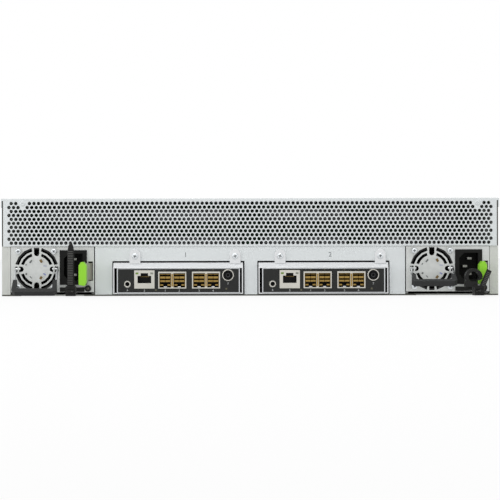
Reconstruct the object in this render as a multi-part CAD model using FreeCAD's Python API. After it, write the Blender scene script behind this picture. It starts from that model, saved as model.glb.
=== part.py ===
"""A 2U rack-mount disk shelf, as an assembly of separate pieces.

Twelve drive carriers in three rows of four slide out at the front. Two power supplies and two
input/output modules slide out at the rear. A midplane board stands between them.

Millimetres. X is to the right seen from the rear, Y runs from the rear to the front and Z is up.
The origin is the centre of the underside of the base tray.
"""
import FreeCAD
import Part
import math
import os
from FreeCAD import Vector

# ---------------------------------------------------------------- driving dimensions
# Chassis
chassis_w = 446.0          # across the side walls of the base tray
chassis_h = 87.5           # over the top cover
chassis_d = 480.0          # from the rear panel's face to the tray's front edge
tray_sheet = 1.2
cover_sheet = 1.0
panel_sheet = 1.0
cover_skirt_h = 8.0        # how far the cover's sides reach down over the tray
cover_lip_h = 2.1          # how far the cover's rear edge folds down
rear_flange_w = 7.6        # width of the tray's rear flanges, outside face to bay
lower_h = 44.5             # height of the seam between the grille and the bays
fold = 10.0                # depth of the folded edges of the rear sheets
clear = 0.3                # between pieces that slide or sit loosely

# Ventilation field of the rear panel: three coarse rows stand for eleven fine ones
vent_row_count = 3
vent_web = 2.6             # sheet left between neighbouring holes
vent_margin = 1.4          # between the field and the panel's upper and side edges
vent_keep_out = 9.4        # free radius around each panel screw
panel_screw_x = 204.3      # panel screws, from the centre
panel_screw_drop = 4.3     # and below the cover's top
panel_screw_r = 2.3
panel_shank_r = 1.4
panel_head_h = 0.9

# Power supplies
psu_w = 74.8
psu_h = 40.6
psu_plug_room = 18.0       # from the supply's far end to the midplane
psu_plug_w = 40.0
psu_sheet = 1.0
psu_lift = 3.5             # height of the supply's underside above the ground
psu_inset = 8.0            # from the tray's outside to the supply's side
fan_size = 40.0
fan_depth = 28.0
fan_blade_count = 7
fan_blade_twist = 38.0     # degrees from the fan's axis
fan_u = 23.2               # centre of the fan from the supply's left side
fan_disc_r = 12.2          # blank middle of the finger guard
guard_ring_in = 14.8
guard_ring_out = 16.4
guard_r = 19.7
guard_spoke = 1.8
guard_slot_r = 2.4
inlet_u = 56.2             # centre of the mains inlet
inlet_w = 24.4
inlet_top = 41.2
inlet_bottom = 10.0
inlet_proud = 1.8
socket_z = 26.0            # height of the inlet's cavity
socket_w = 16.7
socket_h = 24.0
socket_depth = 16.0
latch_window_u0 = 69.7
latch_window_u1 = 73.7
latch_window_z0 = 13.6
latch_window_z1 = 31.0
latch_blade_t = 0.8
latch_root = 22.0          # the blade bends about this depth inside the case
latch_cap_u = 66.4         # middle of the thumb cap
latch_cap_w = 6.4
latch_cap_z0 = 9.5
latch_cap_z1 = 30.7
latch_cap_near = 31.0      # the cap's outer and inner end, from the supply's face
latch_cap_far = 13.0
lamp_u = 69.6
lamp_z = 6.8
lamp_r = 2.2

# Bail handles
bail_half_w = 18.6         # from the middle of the bail to each wire arm
bail_wire_r = 1.0
bail_pivot_z = 24.4
bail_pivot_out = 3.0       # pivot in front of the supply's face
bail_wire_l = 16.5
bail_grip_l = 15.5
bail_grip_half_w = 20.2
bail_bar = 4.5
bail_arm_w = 3.4
bail_thick = 5.0
bail_angle_left = 47.0     # from hanging straight down, as it stands at rest
bail_angle_right = 65.0

# Cord clamps: a toothed strap stands out of each supply, and a clamp slides along it
strap_w = 5.0
strap_t = 1.4
strap_z = 4.4              # underside of the strap
strap_l = 56.0
strap_skew_right = 8.0     # the right-hand strap leans outwards by this angle
clamp_head_w = 8.8
clamp_head_d = 9.0
clamp_head_z0 = 0.6
clamp_head_z1 = 9.4
clamp_at_left = 24.0       # from the supply's face to the clamp's head
clamp_at_right = 32.0
band_w = 5.8
band_t = 1.4
band_top = 49.0
cradle_r = 7.6
cradle_band = 2.6
cradle_dx = -4.3           # the cradle's centre from the middle of the head
cradle_z = 16.8
cradle_base_z = 12.8
cradle_depth = 7.0
tail_lean = 24.0           # the toothed tail leans out by this angle from upright
tail_l = 17.0
tail_w = 4.6

# Input/output modules
io_x = 65.2                # centre of each module from the chassis centre
io_bay_left = -58.6        # bay edges from the module's centre
io_bay_right = 60.2
io_bay_top = 31.3
io_case_top = 29.8
io_case_bottom = 1.7
io_plug_room = 33.0        # from the module's far end to the midplane
io_plug_w = 64.0
io_sheet = 1.0
io_face_left = -54.3
io_face_right = 56.0
io_face_top = 24.9
io_proud = 4.2             # the face stands this far out of the rear panel
io_tabs = (-38.2, 51.8)
io_tab_w = 9.8
io_tab_top = 41.8
io_screw_z = 35.6
io_board_z = 5.0
io_chip_w = 36.0
board_t = 1.6
net_socket = (-38.7, -20.5, 22.9)      # left, right, top
sas_cages = (-17.2, 13.1)              # left edge of each two-port cage
sas_cage_w = 25.2
sas_cage_top = 21.7
sas_port_w = 10.6
sas_port_h = 12.8
din_x = 45.4
din_z = 18.5
din_r = 5.3
din_bore_r = 4.3
jack_x = -44.9
jack_z = 10.6
jack_r = 3.0
jack_bore_r = 1.8

# Drive bays
bay_column_count = 4
bay_row_count = 3
bay_room = 65.0            # depth of the bays beyond the drives themselves
first_row_z = 1.8
row_gap = 0.8              # between one row's bezels and the next
roof_gap = 0.1             # between the top row's space and the cover
bezel_d = 12.0
bezel_proud = 2.0
bezel_gap = 1.4            # between neighbouring bezels
drive_l = 147.0            # the drives are 101.6 wide and 26.1 high
drive_side_room = 9.3      # a column's width beyond its drive
drive_head_room = 1.3      # a bezel's height beyond its drive
rail_t = 2.6
cage_sheet = 1.0
ledge_w = 3.5
ledge_t = 0.8
bezel_wall = 1.6
bezel_floor = 4.0
lever_t = 5.6
lever_lip = 3.0
catch_w = 6.0
pin_r = 1.2
pin_gap = 0.08
pin_side_count = 6
pin_hole_r = (pin_r + 0.03) / math.cos(math.pi / pin_side_count)    # a flat-sided hole the pin turns in

# Midplane
midplane_t = 3.0
plug_depth = 10.0

# Rack ears
ear_reach = 18.3           # how far each ear stands out beyond the chassis side
ear_t = 2.0
ear_leg = 45.0
ear_slot_r = 3.5
ear_slot_l = 10.5
ear_slot_inset = 8.75      # the slots' centres, from the ear's outer edge
ear_slot_margin = 11.3     # the chassis height beyond the slots' spacing of 76.2
rail_hole_r = 2.1
rail_hole_z = 64.0
rail_hole_dy = 180.0
rail_hole_y = -110.0       # middle of the pair

# ---------------------------------------------------------------- derived places
rear_y = -chassis_d / 2
front_y = chassis_d / 2
inner_x = chassis_w / 2 - tray_sheet
cover_under = chassis_h - cover_sheet
rack_w = chassis_w + 2 * ear_reach
ear_slot_x = rack_w / 2 - ear_slot_inset             # the rack's hole columns are 465.1 apart
midplane_y = front_y - bay_room - drive_l            # rear face of the board
psu_l = midplane_y - rear_y - psu_plug_room
io_case_l = midplane_y - rear_y - io_plug_room
bay_outer_x = chassis_w / 2 - rear_flange_w
psu_right_x = chassis_w / 2 - psu_inset - psu_w      # left side of the right-hand supply
psu_left_x = -chassis_w / 2 + psu_inset              # left side of the left-hand supply
bay_inner_x = psu_right_x - 0.9
cage_rear = midplane_y + midplane_t
bezel_back = front_y + bezel_proud - bezel_d
cage_front = bezel_back - 1.0
vent_pitch = (cover_under - lower_h) / vent_row_count
vent_hole = vent_pitch - vent_web                    # across the flats of each hexagonal hole
ear_slot_dz = chassis_h - ear_slot_margin
row_pitch = (cover_under - first_row_z - roof_gap) / bay_row_count
bezel_h = row_pitch - row_gap
drive_h = bezel_h - drive_head_room
column_pitch = 2 * inner_x / bay_column_count
drive_w = column_pitch - drive_side_room
bezel_w = column_pitch - bezel_gap
fan_z = psu_lift + psu_h / 2 + 0.3


# ---------------------------------------------------------------- shape helpers
def box(x0, x1, y0, y1, z0, z1):
    return Part.makeBox(x1 - x0, y1 - y0, z1 - z0, Vector(x0, y0, z0))


def cyl_x(y, z, r, x0, x1):
    return Part.makeCylinder(r, x1 - x0, Vector(x0, y, z), Vector(1, 0, 0))


def cyl_y(x, z, r, y0, y1):
    return Part.makeCylinder(r, y1 - y0, Vector(x, y0, z), Vector(0, 1, 0))


def prism(points, direction):
    """Extrudes the closed outline through the points along the direction."""
    wire = Part.makePolygon([Vector(*p) for p in points + points[:1]])
    return Part.Face(wire).extrude(Vector(*direction))


def prism_y(outline, y0, y1):
    return prism([(x, y0, z) for x, z in outline], (0, y1 - y0, 0))


def prism_x(outline, x0, x1):
    return prism([(x0, y, z) for y, z in outline], (x1 - x0, 0, 0))


def prism_z(outline, z0, z1):
    return prism([(x, y, z0) for x, y in outline], (0, 0, z1 - z0))


def round_y(x, z, r, y0, y1, sides=12):
    """Small or hidden round piece along Y, drawn as a prism whose corners lie on the radius."""
    turn = 2 * math.pi / sides
    return prism_y([(x + r * math.cos(k * turn), z + r * math.sin(k * turn)) for k in range(sides)], y0, y1)


def round_z(x, y, r, z0, z1, sides=8):
    turn = 2 * math.pi / sides
    return prism_z([(x + r * math.cos(k * turn), y + r * math.sin(k * turn)) for k in range(sides)], z0, z1)


def join(shapes):
    return shapes[0].fuse(shapes[1:]).removeSplitter() if len(shapes) > 1 else shapes[0]


def moved(shape, x=0.0, y=0.0, z=0.0):
    copy = shape.copy()
    copy.translate(Vector(x, y, z))
    return copy


def turned(shape, centre, axis, degrees):
    copy = shape.copy()
    copy.rotate(Vector(*centre), Vector(*axis), degrees)
    return copy


def save(node, *solids):
    """Writes one node. Pieces that are only set side by side stay separate solids."""
    shape = solids[0] if len(solids) == 1 else Part.makeCompound(list(solids))
    shape.exportStep(os.path.join("parts", node + ".step"))


# ---------------------------------------------------------------- chassis sheets
def base_tray():
    """Bottom and side walls folded from one sheet, with a flange beside each supply bay."""
    wall_top = cover_under
    sheets = [box(-chassis_w / 2, chassis_w / 2, rear_y, front_y, 0, tray_sheet)]
    for side in (-1, 1):
        outer, inner = side * chassis_w / 2, side * inner_x
        lip = side * bay_outer_x
        sheets.append(box(min(outer, inner), max(outer, inner), rear_y, front_y, 0, wall_top))
        sheets.append(box(min(outer, lip), max(outer, lip), rear_y, rear_y + tray_sheet, 0, lower_h))
    tray = join(sheets)
    # finger room under each supply, and the rail screw holes high in the side walls
    notch_d, notch_margin = 7.0, 9.0
    for x in (psu_left_x, psu_right_x):
        tray = tray.cut(box(x + notch_margin, x + psu_w - notch_margin,
                            rear_y - 1, rear_y + notch_d, -1, tray_sheet + 1))
    for y in (rail_hole_y - rail_hole_dy / 2, rail_hole_y + rail_hole_dy / 2):
        tray = tray.cut(cyl_x(y, rail_hole_z, rail_hole_r, -chassis_w, chassis_w))
    return tray


def top_cover():
    """Flat lid with skirts outside the tray's walls and a lip over the rear panel's top edge."""
    half = chassis_w / 2 + cover_sheet
    lid = [box(-half, half, rear_y - panel_sheet, front_y, cover_under, chassis_h),
           box(-half, half, rear_y - panel_sheet, rear_y, chassis_h - cover_lip_h, chassis_h)]
    for side in (-1, 1):
        outer, inner = side * half, side * chassis_w / 2
        lid.append(box(min(outer, inner), max(outer, inner), rear_y - panel_sheet, front_y - ear_t,
                       chassis_h - cover_skirt_h, chassis_h))
    return join(lid)


def hexagon(x, z, across_flats):
    r = across_flats / math.sqrt(3)
    return [(x + r * math.sin(k * math.pi / 3), z + r * math.cos(k * math.pi / 3)) for k in range(6)]


def octagon(x, z, r):
    turns = [math.pi * (k + 0.5) / 4 for k in range(8)]
    return [(x + r * math.cos(t), z + r * math.sin(t)) for t in turns]


def panel_screw_places():
    return [(side * panel_screw_x, chassis_h - panel_screw_drop) for side in (-1, 1)]


def vent_holes():
    """Centres of the ventilation holes, in staggered rows, with room kept around the screws."""
    corner_r = vent_hole / math.sqrt(3)
    first_z = cover_under - vent_margin - corner_r
    row_step = vent_pitch * math.sqrt(3) / 2
    reach = inner_x - panel_sheet - vent_margin - vent_hole / 2
    half_count = int(reach / vent_pitch) + 1
    for row in range(vent_row_count):
        shift = vent_pitch / 2 if row % 2 == 0 else 0.0
        for k in range(-half_count, half_count + 1):
            x = k * vent_pitch + shift
            z = first_z - row * row_step
            clear_of_screws = all(math.hypot(x - sx, z - sz) > vent_keep_out
                                  for sx, sz in panel_screw_places())
            if abs(x) <= reach and clear_of_screws:
                yield x, z


def rear_grille():
    """Upper half of the rear panel: the stamped vent field, with its top and side folds."""
    y0, y1 = rear_y, rear_y + panel_sheet
    corners = [(-inner_x, lower_h), (inner_x, lower_h), (inner_x, cover_under), (-inner_x, cover_under)]
    outlines = [corners] + [hexagon(x, z, vent_hole) for x, z in vent_holes()]
    outlines += [octagon(x, z, panel_shank_r + clear) for x, z in panel_screw_places()]
    wires = [Part.makePolygon([Vector(x, y0, z) for x, z in o + o[:1]]) for o in outlines]
    sheet = Part.makeFace(wires, "Part::FaceMakerBullseye").extrude(Vector(0, panel_sheet, 0))
    folds = [box(-inner_x, inner_x, y1, y1 + fold, cover_under - panel_sheet, cover_under)]
    for side in (-1, 1):
        a, b = side * inner_x, side * (inner_x - panel_sheet)
        folds.append(box(min(a, b), max(a, b), y1, y1 + fold, lower_h + 2, cover_under))
    return join([sheet] + folds)


def panel_screw(x, z):
    """Low head on the panel's face, with its shank through the panel."""
    head = prism_y(octagon(x, z, panel_screw_r), rear_y - panel_head_h, rear_y)
    shank = prism_y(octagon(x, z, panel_shank_r), rear_y, rear_y + panel_sheet + 4)
    return join([head, shank])


def rear_bulkhead():
    """Lower middle of the rear panel, open at the bottom for the two modules."""
    sheet = box(-bay_inner_x, bay_inner_x, rear_y, rear_y + panel_sheet, tray_sheet, lower_h)
    foot = box(-bay_inner_x, bay_inner_x, rear_y + panel_sheet, rear_y + panel_sheet + fold,
               tray_sheet, tray_sheet + panel_sheet)
    bulkhead = join([sheet, foot])
    for centre in (-io_x, io_x):
        bulkhead = bulkhead.cut(box(centre + io_bay_left, centre + io_bay_right,
                                    rear_y - 1, rear_y + fold + 2, 0, io_bay_top))
        for tab in io_tabs:
            bulkhead = bulkhead.cut(round_y(centre + tab, io_screw_z, 2.0, rear_y - 1, rear_y + 2))
    return bulkhead


def bay_tunnels():
    """Four folded channels that guide the supplies and the modules, from panel to midplane."""
    sheet, ledge = 0.8, 3.0
    y0, y1 = rear_y + panel_sheet, midplane_y
    tunnels = []
    for x in (psu_left_x, psu_right_x):
        left, right, top = x - 0.4, x + psu_w + 0.4, lower_h + 0.1
        parts = [box(left - sheet, right + sheet, y0 + fold + 2, y1, top, top + sheet),
                 box(left - sheet, left, y0 + fold + 2, y1, tray_sheet, top + sheet),
                 box(right, right + sheet, y0 + fold + 2, y1, tray_sheet, top + sheet),
                 box(left, left + ledge, y0 + fold + 2, y1, tray_sheet, psu_lift - clear),
                 box(right - ledge, right, y0 + fold + 2, y1, tray_sheet, psu_lift - clear)]
        tunnels.append(join(parts))
    for centre in (-io_x, io_x):
        left, right, top = centre + io_bay_left, centre + io_bay_right, io_bay_top + 0.2
        parts = [box(left - sheet, right + sheet, y0 + fold, y1, top, top + sheet),
                 box(left - sheet, left, y0 + fold, y1, tray_sheet, top + sheet),
                 box(right, right + sheet, y0 + fold, y1, tray_sheet, top + sheet)]
        tunnels.append(join(parts))
    return tunnels


def rack_ear(side):
    """Folded bracket: a leg on the chassis side and a flange with two slots for the rack."""
    wall = chassis_w / 2
    low, high = 0.6, cover_under - 0.4
    leg = box(wall, wall + ear_t, front_y - ear_leg, front_y, 4.0, chassis_h - cover_skirt_h - 0.4)
    flange = box(wall, rack_w / 2, front_y - ear_t, front_y, low, high)
    ear = join([leg, flange])
    mid_z = chassis_h / 2
    for dz in (-ear_slot_dz / 2, ear_slot_dz / 2):
        z, dx = mid_z + dz, ear_slot_l / 2 - ear_slot_r
        slot = join([box(ear_slot_x - dx, ear_slot_x + dx, front_y - 5, front_y + 5,
                         z - ear_slot_r, z + ear_slot_r),
                     cyl_y(ear_slot_x - dx, z, ear_slot_r, front_y - 5, front_y + 5),
                     cyl_y(ear_slot_x + dx, z, ear_slot_r, front_y - 5, front_y + 5)])
        ear = ear.cut(slot)
    return ear if side > 0 else ear.mirror(Vector(0, 0, 0), Vector(1, 0, 0))


# ---------------------------------------------------------------- drive cage and midplane
def column_centres():
    return [(k - (bay_column_count - 1) / 2) * column_pitch for k in range(bay_column_count)]


def row_floor(row):
    return first_row_z + row * row_pitch


def drive_cage():
    """Five walls under one top plate, with a pair of ledges for every carrier."""
    top0 = cover_under - 0.8
    parts = [box(-inner_x, inner_x, cage_rear, cage_front, top0, cover_under)]
    for k in range(bay_column_count + 1):
        x = -inner_x + k * column_pitch
        x0 = min(max(x - cage_sheet / 2, -inner_x), inner_x - cage_sheet)
        parts.append(box(x0, x0 + cage_sheet, cage_rear, cage_front, tray_sheet, cover_under))
        for row in range(bay_row_count):
            z1 = row_floor(row) + clear
            left = max(x0 - ledge_w, -inner_x)
            right = min(x0 + cage_sheet + ledge_w, inner_x)
            parts.append(box(left, right, cage_rear + plug_depth, cage_front, z1 - ledge_t, z1))
    return join(parts)


def midplane():
    """Board with air windows, a plug for every drive and a socket for every rear module."""
    half, top = inner_x - 1.0, cover_under - 1.2
    board = box(-half, half, midplane_y, cage_rear, tray_sheet, top)
    plugs = []
    for row in range(bay_row_count):
        for x in column_centres():
            z = row_floor(row)
            window, plug = 0.4 * column_pitch, 0.19 * column_pitch
            board = board.cut(box(x - window, x + window, midplane_y - 1, cage_rear + 1,
                                  z + 0.4 * row_pitch, z + 0.85 * row_pitch))
            plugs.append(box(x - plug, x + plug, cage_rear, cage_rear + plug_depth,
                             z + 0.08 * row_pitch, z + 0.32 * row_pitch))
    for x in (psu_left_x + psu_w / 2, psu_right_x + psu_w / 2):
        plugs.append(box(x - psu_plug_w / 2, x + psu_plug_w / 2, midplane_y - psu_plug_room + 6, midplane_y,
                         9, 25))
    for x in (-io_x, io_x):
        plugs.append(box(x - io_plug_w / 2, x + io_plug_w / 2, midplane_y - 14, midplane_y, 8, 20))
    return [board] + plugs


# ---------------------------------------------------------------- drive carriers
def carrier():
    """Carrier with its drive, about the column centre and the row's floor."""
    half = bezel_w / 2
    y0, y1 = bezel_back, bezel_back + bezel_d
    bezel = box(-half, half, y0, y1, 0, bezel_h)
    pocket_x1 = half - bezel_wall - catch_w
    bezel = bezel.cut(box(-half + bezel_wall, pocket_x1, y0 + bezel_floor, y1 + 1,
                          bezel_wall, bezel_h - bezel_wall))
    bezel = bezel.cut(box(-half + 12, pocket_x1 - 8, y0 - 1, y1, 5, bezel_h - 5))
    px, py = lever_pivot()
    for z0 in (0, bezel_h - bezel_wall):
        bezel = bezel.cut(round_z(px, py, pin_hole_r, z0, z0 + bezel_wall, pin_side_count))
    rail_y0 = cage_rear + plug_depth + 0.5
    floor = 2 * clear
    rails = [box(s * drive_w / 2 - (rail_t if s < 0 else 0), s * drive_w / 2 + (rail_t if s > 0 else 0),
                 rail_y0, y0, floor, floor + drive_h) for s in (-1, 1)]
    sled = join([bezel] + rails)
    drive = box(-drive_w / 2, drive_w / 2, rail_y0, rail_y0 + drive_l, floor, floor + drive_h)
    return sled, drive


def lever_pivot():
    """Place of the lever's pin, from the column centre."""
    return -bezel_w / 2 + bezel_wall + lever_t / 2 + 1.2, front_y + bezel_proud - lever_t / 2


def lever():
    """Vented front lever with stub pins, a chamfered hinge end and a pull lip."""
    px, py = lever_pivot()
    x0, x1 = px - lever_t / 2, bezel_w / 2 - bezel_wall - catch_w - 0.4
    y0, y1 = py - lever_t / 2, py + lever_t / 2
    z0, z1 = bezel_wall + 0.4, bezel_h - bezel_wall - 0.4
    cut = 1.6
    body = prism_z([(x0 + cut, y0), (x1, y0), (x1, y1 + lever_lip), (x1 - 3, y1 + lever_lip),
                    (x1 - 6, y1), (x0 + cut, y1), (x0, y1 - cut), (x0, y0 + cut)], z0, z1)
    body = body.cut(box(px + 10, x1 - 12, y0 - 1, y1 + 1, z0 + 5, z1 - 5))
    pins = [round_z(px, py, pin_r, bezel_wall * 0.3, z0, pin_side_count),
            round_z(px, py, pin_r, z1, bezel_h - bezel_wall * 0.3, pin_side_count)]
    return join([body] + pins)


# ---------------------------------------------------------------- power supplies
# Local frame: x from the supply's left side, y from its face (negative is outside), z from the ground.
def polar(r, degrees):
    return r * math.cos(math.radians(degrees)), r * math.sin(math.radians(degrees))


def arc_slot(r_in, r_out, spread, middle, steps=3):
    """Curved slot of a finger guard, as an outline about the fan's centre."""
    angles = [middle - spread / 2 + spread * k / steps for k in range(steps + 1)]
    return [polar(r_out, a) for a in angles] + [polar(r_in, a) for a in reversed(angles)]


def throat_slot(middle, steps=4):
    """Straight slot between two groups of curved ones, with a round inner end."""
    throat, r = fan_disc_r - 0.6 + guard_slot_r, guard_slot_r
    round_end = [(throat + r * math.cos(a), r * math.sin(a))
                 for a in (math.pi * (0.5 + k / steps) for k in range(steps + 1))]
    outline = round_end + [(guard_r - 0.3, -r), (guard_r - 0.3, r)]
    c, s = polar(1, middle)
    return [(x * c - z * s, x * s + z * c) for x, z in outline]


def guard_slots():
    """Stamped openings of the finger guard about the fan's centre, as cutting solids."""
    edge = guard_slot_r + guard_spoke
    outlines = []
    for quarter in range(4):
        diagonal = 45 + 90 * quarter
        for r_in, r_out in ((fan_disc_r, guard_ring_in), (guard_ring_out, guard_r)):
            spread = 90 - 2 * math.degrees(math.asin(edge / (r_in + r_out) * 2))
            outlines.append(arc_slot(r_in, r_out, spread, diagonal))
        outlines.append(throat_slot(90 * quarter))
    return [prism_y(outline, -1, psu_sheet + 1) for outline in outlines]


def socket_outline():
    """Mains inlet cavity: a rectangle with the two corners on the earth side cut off."""
    w, h, cut = socket_w / 2, socket_h / 2, 4.5
    x, z = inlet_u, socket_z
    return [(x - w, z - h + cut), (x - w + cut, z - h), (x + w, z - h), (x + w, z + h),
            (x - w + cut, z + h), (x - w, z + h - cut)]


def psu_case():
    """Closed sheet housing with the stamped guard, and folded lugs that carry the bail."""
    t, z0, z1 = psu_sheet, psu_lift, psu_lift + psu_h
    case = box(0, psu_w, 0, psu_l, z0, z1).cut(box(t, psu_w - t, t, psu_l - t, z0 + t, z1 - t))
    for slot in guard_slots():
        case = case.cut(moved(slot, fan_u, 0, fan_z))
    inlet_body = box(inlet_u - inlet_w / 2 + 1.2, inlet_u + inlet_w / 2 - 1.2, -1, t + 1,
                     inlet_bottom + 1.2, inlet_top - 1.2)
    case = case.cut(inlet_body)
    case = case.cut(box(latch_window_u0, latch_window_u1, -1, t + 1, latch_window_z0, latch_window_z1))
    case = case.cut(round_y(lamp_u, lamp_z, lamp_r, -1, t + 1))
    # air passes through slots in the far end, above the board's edge connector
    vent_step = (psu_w - 12) / 2
    for k in range(2):
        x = 8 + k * vent_step
        case = case.cut(box(x, x + vent_step - 4, psu_l - t - 1, psu_l + 1, z1 - 16, z1 - 5))
    tongue_x = (psu_w - psu_plug_w) / 2
    case = case.cut(box(tongue_x - 2, psu_w - tongue_x + 2, psu_l - t - 1, psu_l + 1, z0 + 7, z0 + 16))
    lugs = []
    for s in (-1, 1):
        x = fan_u + s * (bail_half_w - bail_wire_r - 1.6)
        lug = box(x - 0.6, x + 0.6, -bail_pivot_out - 2.6, 0, bail_pivot_z - 2.6, bail_pivot_z + 2.6)
        lugs.append(lug.cut(cyl_x(-bail_pivot_out, bail_pivot_z, bail_wire_r + pin_gap, x - 2, x + 2)))
    return join([case] + lugs)


def fan_frame():
    """Square fan body with its motor seat and spokes on the inner side, and the shaft."""
    y0, y1 = psu_sheet, psu_sheet + fan_depth
    half, bore = fan_size / 2 - 1.4, fan_size / 2 - 1.9
    frame = box(-half, half, y0, y1, -half, half).cut(round_y(0, 0, bore, y0 - 1, y1 + 1, 20))
    spokes = [box(-1.2, 1.2, y1 - 2.5, y1, -bore - 0.4, bore + 0.4),
              box(-bore - 0.4, bore + 0.4, y1 - 2.5, y1, -1.2, 1.2)]
    seat = round_y(0, 0, 10.5, y1 - 2.5, y1)
    shaft = cyl_y(0, 0, 1.5, y0 + 8, y1 - 1)
    return moved(join([frame, seat, shaft] + spokes), fan_u, 0, fan_z)


def fan_rotor():
    """Hub with a blind bore for the shaft, and seven pitched blades."""
    y0, y1 = psu_sheet + 2.0, psu_sheet + fan_depth - 4.0
    hub = round_y(0, 0, 11.0, y0, y1, 14).cut(cyl_y(0, 0, 1.5 + pin_gap, y0 + 5.5, y1 + 1))
    mid = (y0 + y1) / 2
    blade = box(-0.7, 0.7, mid - 9.5, mid + 9.5, 10.0, fan_size / 2 - 4.0)
    blade = turned(blade, (0, mid, 0), (0, 0, 1), fan_blade_twist)
    blades = [turned(blade, (0, 0, 0), (0, 1, 0), 360.0 * k / fan_blade_count)
              for k in range(fan_blade_count)]
    return moved(join([hub] + blades), fan_u, 0, fan_z)


def psu_inlet():
    """Three-pin mains inlet on its side, earth pin towards the fan. The pins are separate."""
    x0, x1 = inlet_u - inlet_w / 2, inlet_u + inlet_w / 2
    flange = box(x0, x1, -inlet_proud, 0, inlet_bottom, inlet_top)
    body = box(x0 + 1.5, x1 - 1.5, 0, socket_depth + 3, inlet_bottom + 1.5, inlet_top - 1.5)
    shell = join([flange, body]).cut(prism_y(socket_outline(), -inlet_proud - 1, socket_depth))
    pins = []
    for x, z in ((inlet_u + 1, socket_z + 7), (inlet_u + 1, socket_z - 7), (inlet_u - 3, socket_z)):
        pins.append(box(x - 2, x + 2, 1.5, socket_depth, z - 1, z + 1))
    return [shell] + pins


def psu_bail(angle):
    """Wire bail with a moulded grip, swung out from hanging by the angle."""
    half, r = bail_half_w, bail_wire_r
    grip_start, grip_end = bail_wire_l, bail_wire_l + bail_grip_l
    pins = []
    for s in (-1, 1):
        inner = s * (half - bail_wire_r - 3.2)
        pins.append(cyl_x(0, 0, r, min(s * half, inner), max(s * half, inner)))
        pins.append(round_z(s * half, 0, r, -grip_start - 2, r))
    wide, narrow, chamfer = bail_grip_half_w, bail_grip_half_w - 0.8, 3.0
    outline = [(-narrow, -grip_start), (-wide, -grip_end + chamfer), (-wide + chamfer, -grip_end),
               (wide - chamfer, -grip_end), (wide, -grip_end + chamfer), (narrow, -grip_start),
               (narrow - bail_arm_w, -grip_start), (wide - bail_arm_w - 1, -grip_end + bail_bar + 1),
               (wide - bail_arm_w - 2, -grip_end + bail_bar),
               (-wide + bail_arm_w + 2, -grip_end + bail_bar),
               (-wide + bail_arm_w + 1, -grip_end + bail_bar + 1), (-narrow + bail_arm_w, -grip_start)]
    grip = prism_y(outline, -bail_thick / 2, bail_thick / 2)
    bail = turned(join(pins + [grip]), (0, 0, 0), (1, 0, 0), -angle)
    return moved(bail, fan_u, -bail_pivot_out, bail_pivot_z)


def psu_latch():
    """Sprung steel blade, bent out through the window of the case, with a moulded thumb cap."""
    t, z0, z1 = latch_blade_t, latch_window_z0 + 0.8, latch_window_z1 - 1.4
    wall = latch_window_u1 - 0.4
    tip_x, tip_y = latch_cap_u, -latch_cap_far - 6
    blade = prism_z([(wall, latch_root), (wall, 0), (tip_x + t / 2, tip_y), (tip_x - t / 2, tip_y),
                     (wall - t, -0.3), (wall - t, latch_root)], z0, z1)
    w, c, zc0, zc1 = latch_cap_w / 2, 3.2, latch_cap_z0, latch_cap_z1
    front = [(latch_cap_u - w, zc0 + 1), (latch_cap_u + w / 2, zc0), (latch_cap_u + w, zc0 + c),
             (latch_cap_u + w, zc1 - c), (latch_cap_u + w / 3, zc1), (latch_cap_u - w / 3, zc1),
             (latch_cap_u - w, zc1 - c)]
    cap = prism_y(front, -latch_cap_near, -latch_cap_far).cut(blade)
    return [blade, cap]


def psu_screws_and_lamp():
    """Four fan screws and the status lamp of one supply."""
    pieces = []
    for sx in (-1, 1):
        for sz in (-1, 1):
            pieces.append(round_y(fan_u + sx * 16, fan_z + sz * 16, 2.6, -1.5, 0, 8))
    lens = join([round_y(lamp_u, lamp_z, lamp_r - 0.1, -0.8, 4),
                 round_y(lamp_u, lamp_z, lamp_r + 0.7, -0.8, 0)])
    return pieces + [lens]


def psu_board():
    """Power board on the floor of the case: choke, transformer, heat sinks and edge contacts."""
    floor = psu_lift + psu_sheet
    top = floor + 5
    tall, low = floor + 0.77 * psu_h, floor + 0.6 * psu_h
    y0, y1 = psu_sheet + fan_depth + 4, psu_l - psu_sheet - 1
    cell = (y1 - y0) / 20
    near, far = (0.16 * psu_w, 0.53 * psu_w), (0.61 * psu_w, 0.88 * psu_w)
    tongue_x0 = (psu_w - psu_plug_w) / 2
    tongue_x1 = psu_w - tongue_x0
    board = box(3, psu_w - 3, y0, y1, floor + 3.4, top)
    tongue = box(tongue_x0, tongue_x1, y1, psu_l + 5, floor + 8, floor + 10)
    riser = box(tongue_x0, tongue_x1, y1 - 5, y1, top, floor + 10)
    feet = [box(x, x + 4, y, y + 4, floor, floor + 3.4) for x in (4, psu_w - 8) for y in (y0 + 2, y1 - 6)]
    blocks = [box(near[0], near[1], y0 + cell, y0 + 3 * cell, top, tall),
              box(far[0], far[1], y0 + cell, y0 + 5.5 * cell, top, low),
              box(near[0], near[1], y0 + 6.5 * cell, y0 + 9.5 * cell, top, tall),
              box(near[0], near[0] + 4, y0 + 11 * cell, y0 + 17.5 * cell, top, tall),
              box(far[0], far[1], y0 + 10 * cell, y0 + 16.5 * cell, top, low)]
    return join([board, tongue, riser] + feet + blocks)


def strap_frame(shape, skew):
    """Turns a shape built straight out of the supply to the strap's own direction."""
    return turned(shape, (inlet_u, 0, 0), (0, 0, 1), skew)


def tie_strap(skew):
    """Anchor block on the supply's face, and a ladder strap that the clamp slides along."""
    half = strap_w / 2
    anchor = box(inlet_u - 12, inlet_u + 10, -3, 0, strap_z - 0.6, strap_z + 3.4)
    strap = box(inlet_u - half, inlet_u + half, -strap_l, -2, strap_z, strap_z + strap_t)
    for k in range(5):
        y = -8 - 9 * k
        strap = strap.cut(box(inlet_u - half + 1, inlet_u + half - 1, y - 6, y, strap_z - 1, strap_z + 3))
    return join([anchor, strap_frame(strap, skew)])


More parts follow.
